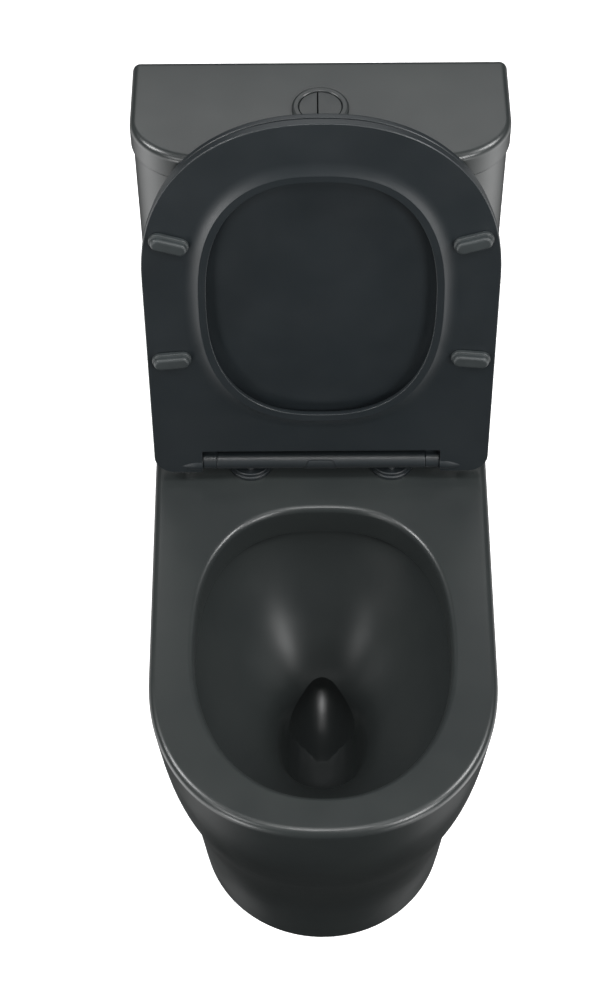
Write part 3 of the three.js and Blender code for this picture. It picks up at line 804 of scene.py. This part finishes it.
def release_prism(grow, depth):
    """The release button's outline seen from the front, rounded at its upper corners, as a prism along y."""
    low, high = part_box("release_button")
    low_x, high_x = low.x - grow, high.x + grow
    corners = [
        Vector((low_x, low.z - grow)),
        Vector((high_x, low.z - grow)),
        Vector((high_x - 4.5 * mm, high.z + grow)),
        Vector((low_x + 4.5 * mm, high.z + grow)),
    ]
    outline = []
    for i, corner in enumerate(corners):
        radius = (0.8 if i < 2 else 4) * mm + grow
        outline += arc_corner(corner, corners[i - 1] - corner, corners[(i + 1) % 4] - corner, radius, 8)
    front, back = HINGE.y - depth[0], HINGE.y - depth[1]
    rings = [[(x, y, z) for x, z in outline] for y in (back, front)]
    return loft("release_prism", rings)


def hinge_barrel():
    radius, half = BARREL_RADIUS, BARREL_HALF
    steps = [(inset, -half + drop) for inset, drop in rounding(0.8 * mm, 4)[::-1]]
    steps += [(0, mix(-half, half, i / 10)) for i in range(1, 10)]
    steps += [(inset, half - drop) for inset, drop in rounding(0.8 * mm, 4)]
    body = loft("hinge_barrel", [at_height(circle(0, 0, radius - inset, 96), z) for inset, z in steps])
    along_x(body, HINGE.y, HINGE.z)
    bore = along_x(cylinder("bore", 0, 0, -0.12, 0.12, 7 * mm, 64), HINGE.y, HINGE.z)
    cuts = [bore, release_prism(0.35 * mm, (12 * mm, -0.3 * mm))]
    for side in (-1, 1):
        cuts.append(cylinder("post_hole", side * DISC_X, HINGE.y, HINGE.z - 15 * mm, HINGE.z, 4.8 * mm, 48))
    return combine(body, cut=cuts)


def release_button():
    radius = BARREL_RADIUS + 0.55 * mm
    face = cylinder("release_button", 0, 0, -30 * mm, 30 * mm, radius, 128)
    along_x(face, HINGE.y, HINGE.z)
    combine(face, within=[release_prism(0, (12 * mm, 3.4 * mm))])
    face.name = "release_button_face"
    return face


def hinge_disc(name):
    low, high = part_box(name)
    x, y = (low.x + high.x) / 2, (low.y + high.y) / 2
    step = low.z + 3.8 * mm
    corners = [
        (0, low.z, 0),
        (24.5 * mm, low.z, 0.2 * mm),
        (24.5 * mm, step, 0.9 * mm),
        (22.8 * mm, step + 0.5 * mm, 0.4 * mm),
        (22.8 * mm, high.z, 1.2 * mm),
        (10 * mm, high.z, 0),
        (0, high.z, 0),
    ]
    return turned(name + "_cover", x, y, rounded_profile(corners), 96)


dress(hinge_barrel(), HINGE_PLASTIC, "toilet", "black_plastic", "hinge_barrel")
dress(release_button(), HINGE_PLASTIC, "release", "black_plastic", "release_button")
for side in ("left", "right"):
    disc = f"hinge_disc_{side}"
    dress(hinge_disc(disc), HINGE_PLASTIC, "toilet", "black_plastic", disc)

# ---- seat and lid ------------------------------------------------------------------------------------

SHUT_TO_RAISED = Matrix.Translation(HINGE) @ Matrix.Rotation(-RAISED, 4, "X")


def cover_outline(inset, notch_half, notch_depth, fillet=2.5 * mm, steps=150):
    """The seat's or lid's outline when shut, counter-clockwise, with the notch for the hinge bar."""
    half = SEAT_HALF - inset
    nose = super_arc(0, -SEAT_SHOULDER, half, SEAT_LENGTH - SEAT_SHOULDER - inset, 2.25, 180, 360, steps)
    rear = -(SEAT_REAR + inset)
    corners = [
        (half, rear, 22 * mm),
        (notch_half, rear, fillet),
        (notch_half, -notch_depth, fillet),
        (-notch_half, -notch_depth, fillet),
        (-notch_half, rear, fillet),
        (-half, rear, 22 * mm),
    ]
    points = [Vector(nose[-1])] + [Vector(c[:2]) for c in corners] + [Vector(nose[0])]
    outline = list(nose)
    for i, (*_, radius) in enumerate(corners, start=1):
        here = points[i]
        arc_steps = 10 if radius > fillet else 5
        outline += arc_corner(here, points[i - 1] - here, points[i + 1] - here, radius, arc_steps)
    return outline


def seat_hole(grow, steps=180):
    outline = super_arc(0, -HOLE_CENTRE, HOLE_HALF_WIDTH + grow, HOLE_HALF_LENGTH + grow, 2.5, 0, 360, steps)
    return outline[:-1]


def plate(name, outer, hole=()):
    """A flat piece from rings of (outline, height), bottom to top, and the same for its hole."""
    bm = bmesh.new()

    def skin(rings, inward):
        made = [[bm.verts.new((x, y, z)) for x, y in outline] for outline, z in rings]
        for lower, upper in zip(made, made[1:]):
            count = len(lower)
            for i in range(count):
                j = (i + 1) % count
                face = (lower[i], lower[j], upper[j], upper[i])
                bm.faces.new(face[::-1] if inward else face)
        ends = []
        for ring in (made[0], made[-1]):
            ends.append([bm.edges.get((ring[i], ring[(i + 1) % len(ring)])) for i in range(len(ring))])
        return ends

    ends = skin(outer, False)
    if hole:
        for end, extra in zip(ends, skin(hole, True)):
            end += extra
    for edges in ends:
        bmesh.ops.triangle_fill(bm, edges=edges, use_beauty=True)
    bmesh.ops.recalc_face_normals(bm, faces=bm.faces)
    mesh = bpy.data.meshes.new(name)
    bm.to_mesh(mesh)
    bm.free()
    piece = bpy.data.objects.new(name, mesh)
    bpy.context.scene.collection.objects.link(piece)
    return piece


def edge_rings(outline, low, high, low_round, high_round, steps=5):
    rings = [(shrink(outline, inset), low + drop) for inset, drop in rounding(low_round, steps)[::-1]]
    rings += [(shrink(outline, inset), high - drop) for inset, drop in rounding(high_round, steps)]
    return rings


def lug(side):
    """The boss at the seat's rear corner for the hinge pin, which fades into the seat's underside."""
    rings = []
    for i in range(25):
        t = i / 24
        ease = smoothstep(t, 0.2, 1)
        x = side * mix(EAR_OUTER + 0.3 * mm, LUG_OUTER + 8 * mm, t)
        radius = mix(EAR_RADIUS, 4 * mm, ease)
        front = mix(-12.4 * mm, SEAT_LOW + 0.4 * mm, ease)
        rear = mix(EAR_RADIUS, 0, ease)
        bottom = super_arc(0, front + radius, radius, radius, 2, 180, 360, 24)
        top = super_arc(0, rear - radius, radius, radius, 2, 0, 180, 24)
        rings.append([(x, forward, up) for forward, up in bottom + top])
    if side < 0:
        rings = rings[::-1]
    piece = loft("lug", rings)
    weld(piece)
    return piece


def seat():
    outline = cover_outline(0, EAR_OUTER + 0.3 * mm, SEAT_NOTCH)
    outer = edge_rings(outline, SEAT_LOW, SEAT_HIGH, 1.2 * mm, 1.8 * mm, 6)
    crest = SEAT_LOW - LIP_HEIGHT
    hole = []
    for i in range(13):
        t = i / 12
        hole.append((seat_hole(LIP_BAND + LIP_SLOPE * (1 - t)), SEAT_LOW - LIP_HEIGHT * t**2.2))
    hole.append((seat_hole(LIP_BAND - 0.4 * mm), crest - 0.05 * mm))
    hole.append((seat_hole(LIP_BAND - 1 * mm), crest + 0.1 * mm))
    hole.append((seat_hole(1 * mm), crest + 0.25 * mm))
    hole += [(seat_hole(inset), crest + 0.25 * mm + drop) for inset, drop in rounding(0.7 * mm, 4)[::-1]]
    edge = crest + 1.5 * mm
    hole.append((seat_hole(0), edge))
    for i in range(1, 15):
        angle = math.radians(90 * i / 14)
        hole.append((seat_hole(TOP_ROLL * (1 - math.cos(angle))), mix(edge, SEAT_HIGH, math.sin(angle))))
    piece = plate("seat_ring", outer, hole)
    combine(piece, add=[lug(side) for side in (-1, 1)])
    socket = along_x(cylinder("socket", 0, 0, -149.4 * mm, 149.4 * mm, 3.8 * mm, 40), 0, 0)
    return combine(piece, cut=[socket])


def ear(side):
    """The lid's hinge ear: a round eye with a web up to the lid, its edges softened."""
    profile = super_arc(0, 0, EAR_RADIUS, EAR_RADIUS, 2, 90, 360, 54)
    profile = [(forward, up) for up, forward in profile]
    profile += [(COVER_LOW + 0.8 * mm, 14 * mm)[::-1], (EAR_RADIUS - 0.3 * mm, 14 * mm)[::-1]]
    low, high = sorted((side * (BARREL_HALF + 0.3 * mm), side * EAR_OUTER))
    edge = 0.5 * mm
    rings = []
    for inset, x in ((edge, low), (0, low + edge), (0, high - edge), (edge, high)):
        scale = 1 - inset / EAR_RADIUS
        rings.append([(x, -forward * scale, up * scale) for forward, up in profile])
    piece = loft("ear", rings)
    weld(piece)
    return piece


def toilet_lid():
    outline = cover_outline(COVER_INSET, LUG_OUTER, 11 * mm)
    piece = plate("toilet_lid_cover", edge_rings(outline, COVER_LOW, COVER_HIGH, 1.2 * mm, 3.2 * mm, 7))
    combine(piece, add=[ear(-1), ear(1)])
    socket = along_x(cylinder("socket", 0, 0, -LUG_OUTER, LUG_OUTER, 3.8 * mm, 40), 0, 0)
    return combine(piece, cut=[socket])


def raise_piece(piece):
    piece.data.transform(SHUT_TO_RAISED)
    return piece


def buffer(name, x, forward, tilt):
    """A soft bumper with rounded ends: a wide foot, a step, and a rounded crown that points at the rim."""
    low, high = SEAT_LOW - 10.8 * mm, SEAT_LOW - 0.3 * mm
    half, radius = 20.5 * mm, 9 * mm

    def outline(inset):
        r = radius - inset
        right = super_arc(half - radius, 0, r, r, 2, -90, 90, 24)
        left = super_arc(-half + radius, 0, r, r, 2, 90, 270, 24)
        return right + left

    crown = [(1.9 * mm + inset, low + drop) for inset, drop in rounding(3 * mm, 8)[::-1]]
    step = mix(high, low, 0.42)
    steps = [(6.4 * mm, low), *crown]
    steps += [(1.9 * mm, step - 0.8 * mm), (1.7 * mm, step - 0.25 * mm), (1.2 * mm, step)]
    steps += [(inset, step + drop) for inset, drop in rounding(1.2 * mm, 5)[::-1]]
    steps += [(0, high - 0.4 * mm), (0.4 * mm, high)]
    piece = loft(name, [at_height(outline(inset), z) for inset, z in steps])
    piece.data.transform(Matrix.Translation((x, -forward, 0)) @ Matrix.Rotation(math.radians(tilt), 4, "Z"))
    return raise_piece(piece)


dress(raise_piece(seat()), SEAT_PLASTIC, "seat", "black_seat", "seat")
dress(raise_piece(toilet_lid()), SEAT_PLASTIC, "lid", "black_seat", "toilet_lid")
for side, sign in (("left", -1), ("right", 1)):
    for row, x, forward, tilt in (("front", 152 * mm, 312 * mm, -17), ("rear", 156 * mm, 158 * mm, 6)):
        node = f"seat_buffer_{row}_{side}"
        bumper = buffer(node + "_pad", sign * x, forward, sign * tilt)
        dress(bumper, BUFFER_RUBBER, "seat", "buffer_rubber", node)

# ---- fixings and seals -------------------------------------------------------------------------------


def pan_connector():
    spigot = TRAP_RADIUS + SHELL
    bore, outside, tail, cup = spigot + 0.7 * mm, spigot + 6 * mm, spigot + 4 * mm, spigot + 3 * mm
    corners = [
        (spigot - 8 * mm, 0, 0.8 * mm),
        (tail, 0, 1.2 * mm),
        (tail, 4.3 * mm, 0.6 * mm),
        (outside, 4.3 * mm, 1.2 * mm),
        (outside, 30 * mm, 0.6 * mm),
        (outside - 1 * mm, 31.5 * mm, 0.6 * mm),
        (outside - 1 * mm, 38 * mm, 0.6 * mm),
        (outside, 39.5 * mm, 0.6 * mm),
        (outside, 45 * mm, 1 * mm),
        (cup, 45 * mm, 0.5 * mm),
        (cup, 34 * mm, 0.3 * mm),
        (bore, 34 * mm, 0.3 * mm),
        (bore, 4 * mm, 0.5 * mm),
        (spigot - 8 * mm, 4 * mm, 0.8 * mm),
    ]
    piece = turned("connector_body", 0, 0, rounded_profile(corners), 128)
    piece.data.transform(Matrix.Translation((0, WALL, OUTLET)) @ Matrix.Rotation(math.radians(90), 4, "X"))
    return piece


def side_screw(node, sign):
    low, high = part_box(node)
    inner, outer = sorted((abs(low.x), abs(high.x)))
    radius = (high.z - low.z) / 2
    seat_face = outer - 5.2 * mm
    corners = [
        (0, inner, 0),
        (3 * mm, inner, 0.4 * mm),
        (3 * mm, seat_face, 0),
        (radius, seat_face, 0.3 * mm),
        (radius, outer - 1.4 * mm, 1.4 * mm),
        (radius * 0.62, outer, 6 * mm),
        (0, outer, 0),
    ]
    piece = turned(node + "_cap", 0, 0, rounded_profile(corners, 8), 96)
    place = Matrix.Translation((0, (low.y + high.y) / 2, (low.z + high.z) / 2))
    piece.data.transform(place @ Matrix.Rotation(math.radians(sign * 90), 4, "Y"))
    return piece


def cushion_pad(node):
    low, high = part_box(node)
    piece = block(node + "_soft", (low.x, high.x), (low.y, high.y), (low.z, high.z))
    edge = piece.modifiers.new("edge", "BEVEL")
    edge.width = 1.6 * mm
    edge.segments = 4
    return piece


dress(pan_connector(), GREY_PLASTIC, "toilet", "grey_plastic", "pan_connector")
for side, sign in (("left", -1), ("right", 1)):
    screw, pad = f"side_screw_{side}", f"cushion_pad_{side}"
    dress(side_screw(screw, sign), HINGE_PLASTIC, "toilet", "black_plastic", screw)
    dress(cushion_pad(pad), BLACK_RUBBER, "toilet", "black_rubber", pad)

# ---- carried-over CAD nodes --------------------------------------------------------------------------

node_slots = {s["node"]: s["material_slot"] for s in frame["record"]["subparts"]}
for name, node in frame["nodes"].items():
    node.data.materials.clear()
    node.data.materials.append(SLOT_MATERIALS[node_slots[name]])

# ---- camera, floor and light -------------------------------------------------------------------------


def camera():
    data = bpy.data.cameras.new("camera")
    data.sensor_fit = "AUTO"
    data.sensor_width = 36
    data.lens = 80.0
    eye = bpy.data.objects.new("camera", data)
    bpy.context.scene.collection.objects.link(eye)
    pitch, yaw, roll = math.radians(52.53), math.radians(-0.1), math.radians(-0.42)
    aim = Matrix.Rotation(-yaw, 4, "Z") @ Matrix.Rotation(math.pi / 2 - pitch, 4, "X")
    turn = aim @ Matrix.Rotation(roll, 4, "Z")
    sideways, distance, height = -0.0148, 1.7277, 2.3466
    eye.matrix_world = Matrix.Translation((sideways, from_wall(distance), height)) @ turn
    bpy.context.scene.camera = eye


def area_light(name, place, target, size, power):
    data = bpy.data.lights.new(name, "AREA")
    data.shape = "RECTANGLE"
    data.size, data.size_y = size
    data.energy = power
    light = bpy.data.objects.new(name, data)
    bpy.context.scene.collection.objects.link(light)
    light.location = place
    light.rotation_euler = (Vector(target) - Vector(place)).to_track_quat("-Z", "Y").to_euler()


def floor():
    """A white floor that gives off its own light and is hidden from reflections and bounce light."""
    s = Surface("floor_white", (0.9, 0.9, 0.9), 0.9)
    s.bump(s.noise(3, 2), 0.0002, 0.1)
    s.shader.inputs["Emission Color"].default_value = (1, 1, 1, 1)
    s.shader.inputs["Emission Strength"].default_value = 0.8
    half = 30
    corners = [(-half, -half, 0), (half, -half, 0), (half, half, 0), (-half, half, 0)]
    sheet = make("floor", corners, [(0, 1, 2, 3)])
    s.material.cycles.emission_sampling = "NONE"
    sheet.data.materials.append(s.material)
    sheet.visible_glossy = False
    sheet.visible_diffuse = False


def ramp(nodes, links, value, low, high, start, end):
    """A smooth step from start to end while the value goes from low to high."""
    ramped = nodes.new("ShaderNodeMapRange")
    ramped.interpolation_type = "SMOOTHSTEP"
    ramped.inputs["From Min"].default_value = low
    ramped.inputs["From Max"].default_value = high
    ramped.inputs["To Min"].default_value = start
    ramped.inputs["To Max"].default_value = end
    links.new(value, ramped.inputs["Value"])
    return ramped.outputs["Result"]


def multiply(nodes, links, first, second):
    product = nodes.new("ShaderNodeMath")
    product.operation = "MULTIPLY"
    links.new(first, product.inputs[0])
    links.new(second, product.inputs[1])
    return product.outputs["Value"]


def world():
    """A dark studio with bright low walls at both sides."""
    front_walls, back_walls, everywhere = 4.2, 1.7, 0.015
    sky = bpy.data.worlds.new("studio")
    sky.use_nodes = True
    nodes, links = sky.node_tree.nodes, sky.node_tree.links
    split = nodes.new("ShaderNodeSeparateXYZ")
    links.new(nodes.new("ShaderNodeTexCoord").outputs["Generated"], split.inputs["Vector"])
    side = nodes.new("ShaderNodeMath")
    side.operation = "ABSOLUTE"
    links.new(split.outputs["X"], side.inputs[0])
    walls = ramp(nodes, links, side.outputs["Value"], 0.35, 0.95, 0, 1)
    along = ramp(nodes, links, split.outputs["Y"], -0.1, 0.45, front_walls, back_walls)
    below = ramp(nodes, links, split.outputs["Z"], -0.45, 0.1, 1, 0)
    low_walls = multiply(nodes, links, multiply(nodes, links, walls, along), below)
    strength = nodes.new("ShaderNodeMath")
    strength.operation = "ADD"
    strength.inputs[1].default_value = everywhere
    links.new(low_walls, strength.inputs[0])
    links.new(strength.outputs["Value"], nodes["Background"].inputs["Strength"])
    nodes["Background"].inputs["Color"].default_value = (1, 1, 1, 1)
    bpy.context.scene.world = sky


camera()
floor()
world()
area_light("back_softbox", (0, 0.62, 1.24), (0, 0.1, 0.75), (1.0, 0.26), 1.6)
area_light("top_softbox", (0, -0.75, 2.35), (0, -0.05, 0.4), (0.6, 0.4), 13)
area_light("over_softbox", (0, 0, 2.6), (0, 0, 0.4), (0.9, 0.5), 5)
area_light("left_softbox", (-1.75, 0, 2.35), (0, 0, 0.45), (0.55, 0.8), 42)
area_light("right_softbox", (1.75, 0, 2.35), (0, 0, 0.45), (0.55, 0.8), 44)
area_light("left_high", (-1.2, -1.3, 1.7), (0, 0, 0.5), (0.6, 0.6), 10)
area_light("right_high", (1.2, -1.3, 1.7), (0, 0, 0.5), (0.6, 0.6), 26)
area_light("left_panel", (-1.3, -1.75, 0.36), (0, 0, 0.6), (0.6, 0.7), 14)
area_light("right_panel", (1.3, -1.75, 0.36), (0, 0, 0.6), (0.6, 0.7), 8)
bpy.context.scene.view_settings.view_transform = "Standard"
